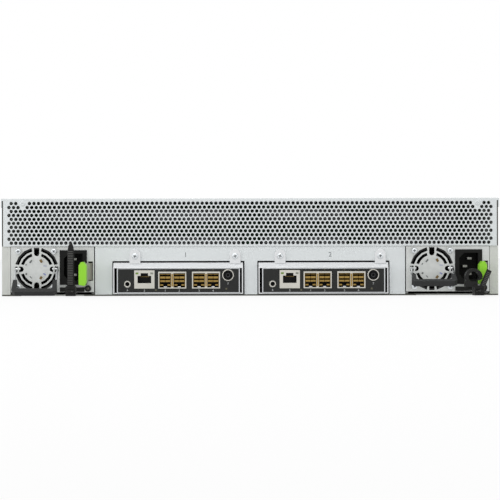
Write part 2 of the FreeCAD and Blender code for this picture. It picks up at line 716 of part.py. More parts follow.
def clamp_head(at):
    """Ratchet head with the strap's passage through it, built straight out of the supply."""
    half, gap = clamp_head_w / 2, clear
    head = box(inlet_u - half, inlet_u + half, -at - clamp_head_d, -at, clamp_head_z0, clamp_head_z1)
    passage = box(inlet_u - strap_w / 2 - gap, inlet_u + strap_w / 2 + gap, -at - clamp_head_d - 1, -at + 1,
                  strap_z - gap, strap_z + strap_t + gap)
    return head.cut(passage)


def cord_clamp_left():
    """Open clamp: the toothed band stands straight up from its head."""
    half, tip, y = band_w / 2, 4.0, -clamp_at_left - clamp_head_d / 2
    z0, z1 = clamp_head_z1 - 1, band_top
    outline = [(inlet_u - half - 0.6, z0), (inlet_u + half + 0.6, z0), (inlet_u + half, z0 + 10),
               (inlet_u + half, z1 - 2 * tip), (inlet_u + half - 0.8, z1 - tip), (inlet_u + 0.6, z1),
               (inlet_u - 0.6, z1), (inlet_u - half + 0.8, z1 - tip), (inlet_u - half, z1 - 2 * tip),
               (inlet_u - half, z0 + 10)]
    band = prism_y(outline, y - band_t / 2, y + band_t / 2)
    return join([clamp_head(clamp_at_left), band])


def cord_clamp_right():
    """Closed clamp: an arched cradle on a base that springs from the head, with its tail beside it."""
    y1 = -clamp_at_right
    y0 = y1 - cradle_depth
    cx, inner = inlet_u + cradle_dx, cradle_r - cradle_band
    ring = cyl_y(cx, cradle_z, cradle_r, y0, y1).cut(cyl_y(cx, cradle_z, inner, y0 - 1, y1 + 1))
    far = 2 * cradle_r
    above = [(cx - far, cradle_base_z - 1), (cx, cradle_base_z - 1), (cx + far, cradle_z + 2),
             (cx + far, cradle_z + far), (cx - far, cradle_z + far)]
    ring = ring.common(prism_y(above, y0, y1))
    base = box(cx - cradle_r, inlet_u - 1, y0, y1, clamp_head_z1 - 1, cradle_base_z)
    half = tail_w / 2
    tail = turned(box(-half, half, y0 - band_t, y0, 0, tail_l), (0, 0, 0), (0, 1, 0), tail_lean)
    tail = moved(tail, inlet_u + 2.2, 0, clamp_head_z1 - 2)
    return join([clamp_head(clamp_at_right), ring, base, tail])


# ---------------------------------------------------------------- input/output modules
# Local frame: x from the module's centre, y from the rear panel's face, z from the ground.
def io_case():
    """Sheet tray and lid with a sloped hood around the face, and two screw tabs."""
    t = io_sheet
    x0, x1 = io_bay_left + 1.0, io_bay_right - 1.3
    z0, z1 = io_case_bottom, io_case_top
    y1 = io_case_l
    tub = [box(x0, x1, 0, y1, z0, z0 + t), box(x0, x0 + t, 0, y1, z0, z1),
           box(x1 - t, x1, 0, y1, z0, z1), box(x0, x1, 0, y1, z1 - t, z1)]
    hood = prism_x([(0, z1), (-io_proud, io_face_top + 0.5), (-io_proud, io_face_top),
                    (-io_proud + 1, io_face_top), (0, z1 - t - 0.6)], x0, x1)
    cheeks = [box(x0, x0 + t, -io_proud, 0, z0, io_face_top), box(x1 - t, x1, -io_proud, 0, z0, io_face_top)]
    sill = box(x0, x1, -io_proud + 1.2, 0, z0, z0 + 0.6)
    tabs = []
    for tab in io_tabs:
        half, top = io_tab_w / 2, io_tab_top
        plate = join([box(tab - half, tab + half, -1.5, -clear, z1 - t, top - half),
                      cyl_y(tab, top - half, half, -1.5, -clear)])
        tabs.append(plate.cut(round_y(tab, io_screw_z, 1.8, -3, 1)))
        tabs.append(box(tab - half, tab + half, -1.5, 0.5, z1 - t, z1))
    return join(tub + [hood, sill] + cheeks + tabs)


def io_face():
    """Metal face plate with a thin label layer, cut out for every socket."""
    y0, y1 = -io_proud, -io_proud + 1.0
    face = join([box(io_face_left, io_face_right, y0 + 0.3, y1, io_case_bottom + 0.8, io_face_top - 0.2),
                 box(io_face_left + 0.9, io_face_right - 0.9, y0, y0 + 0.3,
                     io_case_bottom + 1.5, io_face_top - 0.7)])
    gap = clear
    x0, x1, top = net_socket
    base = io_board_z + board_t
    face = face.cut(box(x0 - gap, x1 + gap, y0 - 1, y1 + 1, base - gap, top + gap))
    for left in sas_cages:
        face = face.cut(box(left - gap, left + sas_cage_w + gap, y0 - 1, y1 + 1,
                            base - gap, sas_cage_top + gap))
    face = face.cut(round_y(din_x, din_z, din_r + gap, y0 - 1, y1 + 1, 16))
    face = face.cut(round_y(jack_x, jack_z, jack_r + gap, y0 - 1, y1 + 1))
    return face


def net_jack():
    """Shielded eight-way network socket with a stepped cavity."""
    x0, x1, top = net_socket
    base, y0 = io_board_z + board_t, -io_proud - 0.4
    mid = (x0 + x1) / 2
    shell = box(x0, x1, y0, 16, base, top)
    for half, z0, z1 in ((6.1, 11.4, 18.0), (3.3, 17.5, 20.4)):
        shell = shell.cut(box(mid - half, mid + half, y0 - 1, 11, z0, z1))
    return shell


def sas_cage(left):
    """Two ports side by side in one cage, each with two contact wafers standing back inside."""
    base, y0 = io_board_z + board_t, -io_proud - 0.4
    cage = box(left, left + sas_cage_w, y0, 24, base, sas_cage_top)
    pitch = sas_cage_w / 2
    parts = []
    for k in range(2):
        mid = left + pitch * (k + 0.5)
        z0 = base + 0.9
        cage = cage.cut(box(mid - sas_port_w / 2, mid + sas_port_w / 2, y0 - 1, 20, z0, z0 + sas_port_h))
        for level in (4.2, 8.4):
            parts.append(box(mid - sas_port_w / 2 + 0.5, mid + sas_port_w / 2 - 0.5, 2.5, 20,
                             z0 + level, z0 + level + 1.2))
    return join([cage] + parts)


def io_board():
    """Populated board of one module: every socket is its own solid on the board."""
    base = io_board_z + board_t
    x0, x1 = io_face_left + 2.3, io_face_right - 3.0
    board = box(x0, x1, 1, io_case_l - 4, io_board_z, base)
    posts = [box(x, x + 5, y, y + 5, io_case_bottom + io_sheet, io_board_z)
             for x in (x0 + 1, x1 - 6) for y in (12, io_case_l - 14)]
    half, chip_y = io_chip_w / 2, 0.46 * io_case_l
    chip = box(-half, half, chip_y - half, chip_y + half, base, base + 2.5)
    sink = [box(-half, half, chip_y - half, chip_y + half, base + 2.5, base + 5)]
    fin_count = 4
    fin_step = io_chip_w / (fin_count - 0.6)
    for k in range(fin_count):
        y = chip_y - half + k * fin_step
        sink.append(box(-half, half, y, y + 0.4 * fin_step, base + 5, base + 15))
    plug = box(-io_plug_w / 2, io_plug_w / 2, io_case_l - 16, io_case_l + 6, base, base + 10)
    y0 = -io_proud - 0.4
    din = join([box(din_x - 6.4, din_x + 6.4, -io_proud + 1.2, 14, base, din_z + 6),
                round_y(din_x, din_z, din_r, y0, -io_proud + 1.2, 16)])
    din = din.cut(round_y(din_x, din_z, din_bore_r, y0 - 1, 3.0, 16))
    jack = join([box(jack_x - 4, jack_x + 4, -io_proud + 1.2, 12, base, jack_z + 4),
                 round_y(jack_x, jack_z, jack_r, y0, -io_proud + 1.2)])
    jack = jack.cut(round_y(jack_x, jack_z, jack_bore_r, y0 - 1, 9.0))
    return ([join([board] + posts), chip, join(sink), plug, din, jack, net_jack()]
            + [sas_cage(left) for left in sas_cages])


def io_screws():
    """The two screws that hold a module's tabs to the rear panel."""
    return [join([round_y(tab, io_screw_z, 2.8, -3.2, -1.5, 8), round_y(tab, io_screw_z, 1.5, -1.5, 5, 8)])
            for tab in io_tabs]


# ---------------------------------------------------------------- build
def main():
    os.makedirs("parts", exist_ok=True)
    save("base_tray", base_tray())
    save("top_cover", top_cover())
    save("rear_grille", rear_grille(), *[panel_screw(x, z) for x, z in panel_screw_places()])
    save("rear_bulkhead", rear_bulkhead())
    save("bay_tunnels", *bay_tunnels())
    save("rack_ears", rack_ear(-1), rack_ear(1))
    save("drive_cage", drive_cage())
    save("midplane", *midplane())

    sled, drive = carrier()
    front_lever = lever()
    number = 0
    for row in range(bay_row_count):
        for x in column_centres():
            number += 1
            z = row_floor(row)
            save(f"carrier_{number:02d}", moved(sled, x, 0, z), moved(drive, x, 0, z))
            save(f"lever_{number:02d}", moved(front_lever, x, 0, z))

    for side, x, angle, skew, clamp in (
            ("left", psu_left_x, bail_angle_left, 0.0, cord_clamp_left()),
            ("right", psu_right_x, bail_angle_right, strap_skew_right, cord_clamp_right())):
        def put(name, *solids):
            save(f"psu_{side}_{name}", *[moved(s, x, rear_y, 0) for s in solids])
        put("case", psu_case())
        put("fan_frame", fan_frame())
        put("fan_rotor", fan_rotor())
        put("inlet", *psu_inlet())
        put("bail", psu_bail(angle))
        put("latch", *psu_latch())
        put("screws_and_lamp", *psu_screws_and_lamp())
        put("board", psu_board())
        put("tie_strap", tie_strap(skew))
        put("cord_clamp", strap_frame(clamp, skew))

    for number, x in ((1, -io_x), (2, io_x)):
        def put_io(name, *solids):
            save(f"io_{number}_{name}", *[moved(s, x, rear_y, 0) for s in solids])
        put_io("case", io_case())
        put_io("face", io_face())
        put_io("board", *io_board())
        put_io("screws", *io_screws())


main()
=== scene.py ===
"""Looks of a 2U disk shelf seen from its rear: sheet metal, vents, supplies, modules and drives."""
import math

import bmesh
import bpy
from mathutils import Matrix, Vector


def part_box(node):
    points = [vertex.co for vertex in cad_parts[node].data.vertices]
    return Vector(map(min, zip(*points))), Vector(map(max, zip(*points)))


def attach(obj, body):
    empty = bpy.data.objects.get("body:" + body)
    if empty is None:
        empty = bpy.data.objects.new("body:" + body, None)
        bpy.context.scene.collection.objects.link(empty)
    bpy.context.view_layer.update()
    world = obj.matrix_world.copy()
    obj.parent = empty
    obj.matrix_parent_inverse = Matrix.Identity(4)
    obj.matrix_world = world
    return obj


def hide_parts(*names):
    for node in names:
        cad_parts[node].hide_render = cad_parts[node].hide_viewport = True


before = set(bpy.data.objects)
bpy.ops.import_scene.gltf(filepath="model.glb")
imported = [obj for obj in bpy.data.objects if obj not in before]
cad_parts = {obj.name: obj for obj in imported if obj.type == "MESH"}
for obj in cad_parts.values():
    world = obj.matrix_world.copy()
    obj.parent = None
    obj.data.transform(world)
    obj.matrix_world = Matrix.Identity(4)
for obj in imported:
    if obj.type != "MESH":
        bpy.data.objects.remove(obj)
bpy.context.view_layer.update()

mm = 0.001

# ---------------------------------------------------------------- sheet metal chassis
# Base tray, top cover, rear bulkhead and rack ears are folded from thin steel and powder coated
# in a pale grey with a faint orange peel. Folded edges are slightly rounded.


def colour(red, green, blue):
    """Linear colour of a paint chip given in display values from 0 to 255."""
    def linear(value):
        v = value / 255
        return v / 12.92 if v <= 0.04045 else ((v + 0.055) / 1.055) ** 2.4
    return (linear(red), linear(green), linear(blue), 1.0)


class Shade:
    """A number, colour or vector inside a finish. Arithmetic on it adds Math nodes."""

    def __init__(self, finish, socket):
        self.finish = finish
        self.socket = socket

    def math(self, operation, other=None):
        terms = [self] if other is None else [self, other]
        return self.finish.node("ShaderNodeMath", {"operation": operation}, dict(enumerate(terms)))

    def __add__(self, other):
        return self.math("ADD", other)

    def __mul__(self, other):
        return self.math("MULTIPLY", other)

    __radd__ = __add__
    __rmul__ = __mul__

    def __gt__(self, other):
        return self.math("GREATER_THAN", other)

    def __lt__(self, other):
        return self.math("LESS_THAN", other)

    def __abs__(self):
        return self.math("ABSOLUTE")


class Finish:
    """A material whose colour, roughness and relief are worked out by nodes."""

    def __init__(self, name, metallic=0.0, roughness=0.5, shine=0.5):
        self.material = bpy.data.materials.new(name)
        self.material.use_nodes = True
        self.tree = self.material.node_tree
        self.surface = self.tree.nodes["Principled BSDF"]
        self.surface.inputs["Metallic"].default_value = metallic
        self.surface.inputs["Roughness"].default_value = roughness
        self.surface.inputs["Specular IOR Level"].default_value = shine
        self.place = self.node("ShaderNodeTexCoord", output="Object")

    def node(self, kind, settings=None, sockets=None, output=0):
        """Adds a node with its settings first, then the values or links of its sockets."""
        made = self.tree.nodes.new(kind)
        for name, value in (settings or {}).items():
            setattr(made, name, value)
        for name, value in (sockets or {}).items():
            if isinstance(value, Shade):
                self.tree.links.new(value.socket, made.inputs[name])
            else:
                made.inputs[name].default_value = value
        return Shade(self, made.outputs[output])

    def stretched(self, x, y, z):
        """Object coordinates scaled along each axis."""
        return self.node("ShaderNodeMapping", None, {"Vector": self.place, "Scale": (x, y, z)})

    def noise(self, scale, detail=2.0, roughness=0.5, place=None):
        """Smooth noise with this many lumps to a metre."""
        return self.node("ShaderNodeTexNoise", None, {"Vector": place or self.place, "Scale": scale,
                                                      "Detail": detail, "Roughness": roughness})

    def mix(self, factor, first, second):
        """Blend of two colours. 0, 6 and 7 are the Mix node's sockets for factor and colours."""
        return self.node("ShaderNodeMix", {"data_type": "RGBA"}, {0: factor, 6: first, 7: second},
                         output=2)

    def put(self, socket, value):
        """Gives a socket of the surface a value, or a link."""
        if isinstance(value, Shade):
            self.tree.links.new(value.socket, self.surface.inputs[socket])
        else:
            self.surface.inputs[socket].default_value = value

    def relief(self, height, strength):
        """Fine relief, up to 0.2 mm deep at full strength."""
        bump = {"Height": height, "Strength": strength, "Distance": 0.2 * mm}
        self.put("Normal", self.node("ShaderNodeBump", None, bump))


# painted shade: a dark olive for cut edges that lie in shadow
rim_shade_colour = colour(66, 66, 58)


def powder_coat(name, chip, shade, roughness=0.42, painted_rim_shade=None):
    """Powder coat with faint clouds and a fine orange peel. Its last argument, a mask of x, y and
    z, darkens the edges it picks out with painted shade.
    """
    coat = Finish(name, roughness=roughness)
    cloud = coat.noise(9.0, 3.0)
    speck = coat.noise(2600.0, 2.0)
    paint = coat.mix(cloud * 0.6 + speck * 0.25, chip, shade)
    # painted shade where the mask picks out an edge
    if painted_rim_shade:
        place = [coat.node("ShaderNodeSeparateXYZ", None, {"Vector": coat.place}, axis)
                 for axis in range(3)]
        paint = coat.mix(painted_rim_shade(*place), paint, rim_shade_colour)
    coat.put("Base Color", paint)
    coat.put("Roughness", cloud * 0.10 + (roughness - 0.05))
    coat.relief(coat.noise(1100.0, 2.0, 0.6), 0.10)
    return coat.material


def finished(name, mesh, body, finishes, stands_for=()):
    """Makes a mesh a piece of the shelf, in place and riding on its body."""
    piece = bpy.data.objects.new(name, mesh)
    bpy.context.scene.collection.objects.link(piece)
    for finish in finishes:
        mesh.materials.append(finish)
    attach(piece, body)
    for node in stands_for:
        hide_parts(node)
    return piece


crease_angle = math.radians(26.0)     # smooth shading stops at edges that turn by more
fold_angle = math.radians(35.0)       # and edges that turn by more than this are rounded
plane_angle = math.radians(1.0)       # faces that turn by less lie in one plane


def to_mesh(name, shape, shaded=False):
    """Turns a bmesh into a mesh, smooth up to the crease angle unless round_edges has shaded it."""
    bmesh.ops.recalc_face_normals(shape, faces=shape.faces)
    smooth = [face.smooth or not shaded for face in shape.faces]
    mesh = bpy.data.meshes.new(name)
    shape.to_mesh(mesh)
    shape.free()
    mesh.set_sharp_from_angle(angle=crease_angle)
    mesh.polygons.foreach_set("use_smooth", smooth)
    return mesh


def round_edges(shape, width, segments=2):
    """Rounds folded edges. Plane faces are then shaded flat, curved and rounded ones smooth."""
    folds = [e for e in shape.edges if len(e.link_faces) == 2 and e.calc_face_angle(0) > fold_angle]
    bmesh.ops.bevel(shape, geom=folds, offset=width, offset_type="OFFSET", affect="EDGES",
                    segments=segments, profile=0.5, material=-1, clamp_overlap=True)
    # a slim face is no wider than the rounding made it
    slim = {face for face in shape.faces
            if face.calc_area() < 1.2 * width * max(e.calc_length() for e in face.edges)}
    for face in shape.faces:
        curves_on = (e for e in face.edges
                     if len(e.link_faces) == 2 and not slim & set(e.link_faces)
                     and plane_angle < e.calc_face_angle(0) < fold_angle)
        face.smooth = face in slim or any(curves_on)


def welded(node):
    """Copy of a CAD piece's surface with its corners joined and its flat faces made whole."""
    shape = bmesh.new()
    shape.from_mesh(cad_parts[node].data)
    bmesh.ops.remove_doubles(shape, verts=shape.verts, dist=0.002 * mm)
    bmesh.ops.dissolve_limit(shape, angle_limit=plane_angle, verts=shape.verts, edges=shape.edges)
    return shape


def softened(name, node, body, finishes, width, pick=None, segments=2):
    """A CAD piece with edges rounded by a width. pick gives each face the number of its finish."""
    shape = welded(node)
    if pick:
        for face in shape.faces:
            face.material_index = pick(face)
    round_edges(shape, width, segments)
    return finished(name, to_mesh(name, shape, shaded=True), body, finishes, [node])


rim_y, rim_x, seam_z, tray_floor_z = -238.7 * mm, 221.6 * mm, 44.6 * mm, 1.25 * mm


def tray_rim_shade_mask(x, y, z):
    """Mask of painted shade on the tray's cut rear edge: its bottom, and its sides above the seam.
    """
    return (y < rim_y) * ((abs(x) > rim_x) * (z > seam_z) + (z < tray_floor_z))


pale_paint = powder_coat("pale_powder_coat", colour(226, 230, 231), colour(212, 217, 218))
# the tray's paint carries painted shade on its cut rear edges
warm_paint = powder_coat("warm_powder_coat", colour(210, 212, 207), colour(198, 200, 195),
                         painted_rim_shade=tray_rim_shade_mask)
softened("tray_shell", "base_tray", "chassis", [warm_paint], 0.3 * mm)
softened("cover_shell", "top_cover", "chassis", [pale_paint], 0.35 * mm)
softened("bulkhead_plate", "rear_bulkhead", "chassis", [pale_paint], 0.2 * mm)
softened("rack_brackets", "rack_ears", "chassis", [pale_paint], 0.4 * mm)

# ---------------------------------------------------------------- perforated rear panel
# The upper half of the rear is a punched sheet: eleven staggered rows of round 3.2 mm holes, left
# blank around the two panel screws, with its top and side edges folded inwards.
hole_pitch = 4.085 * mm
row_count = 11
row_pitch = 3.56 * mm
hole_r = 1.62 * mm
hole_sides = 14
top_row_drop = 4.3 * mm
long_row_reach = 53             # holes from the middle of a long row to its left end
panel_screw_x = 204.3 * mm
screw_room = 4.7 * mm
side_fold_lift = 2 * mm         # the side folds start this far over the seam

grille_low, grille_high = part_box("rear_grille")
cover_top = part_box("top_cover")[1].z
sheet_t = 1.0 * mm
panel_y = grille_low.y


def loop(curve, points):
    """Adds one closed straight-sided outline to a flat curve."""
    spline = curve.splines.new("POLY")
    spline.points.add(len(points) - 1)
    for knot, (x, z) in zip(spline.points, points):
        knot.co = (x, z, 0, 1)
    spline.use_cyclic_u = True


def cut_sheet(name, outlines, y0, y1):
    """Flat sheet with holes, cut from outlines in X and Z, lying between two depths."""
    curve = bpy.data.curves.new(name, "CURVE")
    curve.dimensions = "2D"
    curve.fill_mode = "BOTH"
    curve.extrude = abs(y1 - y0) / 2
    for points in outlines:
        loop(curve, points)
    flat = bpy.data.objects.new(name, curve)
    mesh = bpy.data.meshes.new_from_object(flat)
    bpy.data.objects.remove(flat)
    shape = bmesh.new()
    shape.from_mesh(mesh)
    bmesh.ops.remove_doubles(shape, verts=shape.verts, dist=0.001 * mm)
    bmesh.ops.transform(shape, verts=shape.verts, matrix=Matrix.Translation((0, (y0 + y1) / 2, 0))
                        @ Matrix.Rotation(math.pi / 2, 4, "X"))
    return shape


def circle(x, z, radius, sides):
    """Corners of a round outline."""
    turns = (2 * math.pi * k / sides for k in range(sides))
    return [(x + radius * math.cos(t), z + radius * math.sin(t)) for t in turns]


def slab(shape, low, high):
    """Adds a closed block between two corners."""
    size = Vector(high) - Vector(low)
    middle = (Vector(high) + Vector(low)) / 2
    return bmesh.ops.create_cube(shape, size=1.0, matrix=Matrix.Translation(middle)
                                 @ Matrix.Diagonal((*size, 1)))


def vent_holes():
    """Outlines of the holes. Every other row is one hole shorter and shifted by half a pitch."""
    for row in range(row_count):
        z = cover_top - top_row_drop - row * row_pitch
        short = row % 2 == 0
        for k in range(-long_row_reach, long_row_reach + (0 if short else 1)):
            x = (k + 0.5 if short else k) * hole_pitch
            if math.hypot(abs(x) - panel_screw_x, z - cover_top + top_row_drop) > screw_room:
                yield circle(x, z, hole_r, hole_sides)


x0, x1, z0, z1 = grille_low.x, grille_high.x, grille_low.z, grille_high.z
panel_outline = [(x0, z0), (x1, z0), (x1, z1), (x0, z1)]
vent_shape = cut_sheet("vent_panel", [panel_outline, *vent_holes()], panel_y, panel_y + sheet_t)
fold_y = grille_high.y
slab(vent_shape, (x0, panel_y + sheet_t, z1 - sheet_t), (x1, fold_y, z1))
for fold_x in (x0, x1 - sheet_t):
    slab(vent_shape, (fold_x, panel_y + sheet_t, z0 + side_fold_lift),
         (fold_x + sheet_t, fold_y, z1 - sheet_t))
finished("vent_panel", to_mesh("vent_panel", vent_shape), "chassis", [pale_paint],
         ["rear_grille"])

# ---------------------------------------------------------------- screws
# Pan heads with a cross recess: two painted over on the vent panel, one in each module tab, and
# four on each fan. The recess is cut once and every screw is a copy.
recess = Finish("recess_shadow", roughness=0.9, shine=0.1)
recess.put("Base Color", recess.mix(recess.noise(800.0), colour(88, 94, 96), colour(112, 118, 120)))


def plated_metal(name, chip, shade, roughness=0.28, grain=420.0):
    """Bright plating: clouded colour, fine scratches and a roughness that wanders a little."""
    plate = Finish(name, metallic=1.0, roughness=roughness)
    cloud = plate.noise(60.0, 4.0)
    scratch = plate.noise(grain, 3.0, 0.7, plate.stretched(1.0, 1.0, 0.08))
    plate.put("Base Color", plate.mix(cloud, chip, shade))
    plate.put("Roughness", scratch * 0.16 + (roughness - 0.06))
    plate.relief(scratch, 0.06)
    return plate.material


screw_plating = plated_metal("screw_plating", colour(226, 229, 231), colour(198, 203, 206))


# profile of a head and size of its recess, as parts of its radius and height
pan_profile = ((1, 0), (1, 0.45), (0.88, 0.78), (0.55, 0.96), (0, 1))
recess_arm, recess_half, recess_depth = 0.52, 0.11, 0.5
recess_reach, recess_top = 0.6, 0.9         # faces within these lie in the recess
turn_step = 1.1


def pan_head(radius, height):
    """Head pointing towards -Y with its seat at the origin, cross recess included."""
    head = bmesh.new()
    knots = [head.verts.new((x * radius, -y * height, 0)) for x, y in pan_profile]
    wire = [head.edges.new(pair) for pair in zip(knots, knots[1:])]
    bmesh.ops.spin(head, geom=knots + wire, cent=(0, 0, 0), axis=(0, 1, 0), angle=2 * math.pi,
                   steps=20, use_merge=True)
    bmesh.ops.remove_doubles(head, verts=head.verts, dist=0.01 * mm)
    bmesh.ops.holes_fill(head, edges=[e for e in head.edges if e.is_boundary], sides=0)
    bmesh.ops.recalc_face_normals(head, faces=head.faces)
    cross = bmesh.new()
    arm, half, depth = recess_arm * radius, recess_half * radius, recess_depth * height
    slab(cross, (-arm, -height - mm, -half), (arm, -height + depth, half))
    other = bmesh.new()
    slab(other, (-half, -height - mm, -arm), (half, -height + depth, arm))
    pieces = []
    for shape in (head, cross, other):
        mesh = bpy.data.meshes.new("screw_part")
        shape.to_mesh(mesh)
        shape.free()
        piece = bpy.data.objects.new("screw_part", mesh)
        bpy.context.scene.collection.objects.link(piece)
        pieces.append(piece)
    for tool in pieces[1:]:
        cut = pieces[0].modifiers.new("recess", "BOOLEAN")
        cut.operation = "DIFFERENCE"
        cut.object = tool
        cut.solver = "EXACT"
    mesh = bpy.data.meshes.new_from_object(
        pieces[0].evaluated_get(bpy.context.evaluated_depsgraph_get()))
    for piece in pieces:
        bpy.data.objects.remove(piece)
    return mesh


def screws(name, places, radius, height, body, finishes, stands_for=(), turn=0.3):
    """A group of like screws, each turned a little differently, in one piece."""
    head = pan_head(radius, height)
    group = bmesh.new()
    for k, place in enumerate(places):
        first = len(group.verts)
        group.from_mesh(head)
        group.verts.ensure_lookup_table()
        bmesh.ops.transform(group, verts=group.verts[first:], matrix=Matrix.Translation(place)
                            @ Matrix.Rotation(turn + turn_step * k, 4, "Y"))
    for face in group.faces:
        centre = face.calc_center_median()
        from_axis = min((centre - Vector(place)).xz.length for place in places)
        in_recess = (from_axis < recess_reach * radius
                     and centre.y > places[0][1] - recess_top * height)
        face.material_index = int(in_recess and len(finishes) > 1)
    return finished(name, to_mesh(name, group), body, finishes, stands_for)


panel_screw_z = cover_top - top_row_drop
panel_screw_r, panel_screw_h = 2.3 * mm, 0.9 * mm
screws("panel_screws", [(side * panel_screw_x, panel_y, panel_screw_z) for side in (-1, 1)],
       panel_screw_r, panel_screw_h, "chassis", [pale_paint])

# ---------------------------------------------------------------- module numbers on the bulkhead
# Plain grey numbers, one over each module, printed on the bulkhead. Numbers are flat letters
# that lie a hair proud of the face they are printed on.
ink = Finish("grey_ink", roughness=0.7)
ink.put("Base Color", ink.mix(ink.noise(3000.0), colour(96, 100, 102), colour(120, 124, 126)))
bulkhead_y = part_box("rear_bulkhead")[0].y
ink_half_t = 0.015 * mm
module_number_size = 6.0 * mm
module_numbers = [("1", -58.0 * mm, 36.7 * mm), ("2", 72.0 * mm, 36.7 * mm)]


def printed(name, marks, size, y, body, finish):
    """Flat numbers, each centred on its place, lying just proud of a face that looks to -Y."""
    group = bmesh.new()
    for text, x, z in marks:
        curve = bpy.data.curves.new(name, "FONT")
        curve.body = text
        curve.size = size
        curve.extrude = ink_half_t
        curve.align_x = "CENTER"
        curve.align_y = "CENTER"
        curve.resolution_u = 3
        letters = bpy.data.objects.new(name, curve)
        first = len(group.verts)
        group.from_mesh(bpy.data.meshes.new_from_object(letters))
        bpy.data.objects.remove(letters)
        group.verts.ensure_lookup_table()
        bmesh.ops.transform(group, verts=group.verts[first:],
                            matrix=Matrix.Translation((x, y - ink_half_t, z))
                            @ Matrix.Rotation(math.pi / 2, 4, "X"))
    bmesh.ops.remove_doubles(group, verts=group.verts, dist=0.0005 * mm)
    return finished(name, to_mesh(name, group), body, [finish])


printed("module_numbers", module_numbers, module_number_size, bulkhead_y, "chassis", ink.material)

# ---------------------------------------------------------------- interface modules
# Each module is a tray of bright steel with a bare hood, a black overlay on its face, a green
# board, and sockets that stand through the face. Two tabs screw it to the bulkhead.


def bare_steel(name, chip, shade, roughness=0.34):
    """Bright cold-rolled steel with long faint rolling marks."""
    steel = Finish(name, metallic=0.85, roughness=roughness)
    rolled = steel.noise(900.0, 3.0, 0.6, steel.stretched(0.03, 1.0, 1.0))
    cloud = steel.noise(24.0, 3.0)
    steel.put("Base Color", steel.mix(cloud * 0.7 + rolled * 0.3, chip, shade))
    steel.put("Roughness", rolled * 0.14 + cloud * 0.08 + (roughness - 0.1))
    steel.relief(rolled, 0.05)
    return steel.material


def moulded(name, chip, roughness=0.45, grain=1500.0, depth=0.12, shine=0.3):
    """Moulded plastic with a fine spark-eroded grain."""
    plastic = Finish(name, roughness=roughness, shine=shine)
    skin = plastic.noise(grain, 3.0, 0.6)
    cloud = plastic.noise(40.0, 2.0)
    lighter = tuple(min(1.0, c * 1.25 + 0.003) for c in chip[:3]) + (1.0,)
    plastic.put("Base Color", plastic.mix(cloud * 0.6 + skin * 0.3, chip, lighter))
    plastic.put("Roughness", skin * 0.12 + (roughness - 0.05))
    plastic.relief(skin, depth)
    return plastic.material


def overlay_film(name, chip, lighter):
    """Matt printed film with a fine pebble texture."""
    film = Finish(name, roughness=0.5, shine=0.25)
    pebble = film.node("ShaderNodeTexVoronoi", None, {"Vector": film.place, "Scale": 2200.0})
    film.put("Base Color", film.mix(film.noise(500.0, 3.0), chip, lighter))
    film.put("Roughness", pebble * 0.15 + 0.42)
    film.relief(pebble, 0.12)
    return film.material


def laminate(name):
    """Green circuit board: solder mask over a web of darker and lighter tracks."""
    board = Finish(name, roughness=0.35)
    tracks = board.node("ShaderNodeTexBrick", {"offset": 0.37, "squash": 0.6},
                        {"Vector": board.place, "Scale": 160.0, "Mortar Size": 0.035,
                         "Brick Width": 0.9, "Row Height": 0.22, "Color1": colour(18, 74, 40),
                         "Color2": colour(24, 86, 48), "Mortar": colour(58, 128, 74)})
    pads = board.node("ShaderNodeTexVoronoi", None, {"Vector": board.place, "Scale": 420.0})
    board.put("Base Color", board.mix((pads < 0.16) * 0.8, tracks, colour(170, 160, 110)))
    board.put("Roughness", board.noise(200.0) * 0.2 + 0.28)
    board.relief(tracks, 0.08)
    return board.material


hood_steel = bare_steel("module_steel", colour(226, 227, 228), colour(208, 210, 212))
face_edge_steel = bare_steel("face_plate_steel", colour(214, 216, 218), colour(196, 199, 202), 0.3)
face_film = overlay_film("black_overlay", colour(27, 28, 27), colour(36, 37, 36))
board_green = laminate("circuit_laminate")
chip_black = moulded("chip_black", colour(34, 35, 37), 0.4, 900.0)
socket_black = moulded("socket_black", colour(14, 14, 15), 0.4)
socket_shield = plated_metal("socket_shield", colour(214, 212, 204), colour(186, 184, 176), 0.3)
white_ink = Finish("white_ink", roughness=0.6)
white_ink.put("Base Color", white_ink.mix(white_ink.noise(3000.0), colour(196, 198, 198),
                                          colour(170, 172, 172)))

gold = Finish("gold_plating", metallic=0.9, roughness=0.32)
gold_wear = gold.noise(700.0, 4.0, 0.7)
gold.put("Base Color", gold.mix(gold_wear, colour(178, 150, 86), colour(126, 100, 50)))
gold.put("Roughness", gold_wear * 0.2 + 0.22)
gold.relief(gold_wear, 0.1)


def lens(name, chip, glow):
    """Small moulded light window, faintly cloudy."""
    window = Finish(name, roughness=0.25)
    window.put("Base Color", window.mix(window.noise(600.0), chip, glow))
    window.put("Roughness", window.noise(900.0) * 0.2 + 0.15)
    return window.material


green_lens = lens("green_lens", colour(92, 120, 52), colour(132, 160, 74))
grey_lens = lens("grey_lens", colour(120, 122, 112), colour(150, 152, 140))
amber_lens = lens("amber_lens", colour(72, 68, 50), colour(96, 92, 68))

# places across are taken from a module's middle, heights from the ground, depths from its sockets
module_x = {1: -65.2 * mm, 2: 65.2 * mm}
board_top = 6.6 * mm
rear_plug_depth = 30 * mm           # beyond this the board carries its plug for the midplane
bare_depth = 5 * mm                 # and beyond this its top is bare
hair = 0.1 * mm                     # a face this near to a plane lies in it

net_mid, net_half = -29.6 * mm, 9.1 * mm
net_mouth_half = 6.2 * mm
net_mouth_low, net_mouth_high = 11 * mm, 20.7 * mm
net_lamp_reach, net_lamp_half = 6.6 * mm, 1.35 * mm
net_lamp_low, net_lamp_high = 19.3 * mm, 21.1 * mm
contact_pitch, contact_half = 1.02 * mm, 0.22 * mm
contact_near, contact_far = 8.5 * mm, 11 * mm
contact_low, contact_high = 16.8 * mm, 17.5 * mm

port_pair_lefts = (-17.2 * mm, 13.1 * mm)
port_pitch = 12.6 * mm
port_half = 5.3 * mm
port_floor, port_roof = 7.5 * mm, 20.4 * mm
port_mids = [left + port_pitch * k for left in port_pair_lefts for k in (0.5, 1.5)]
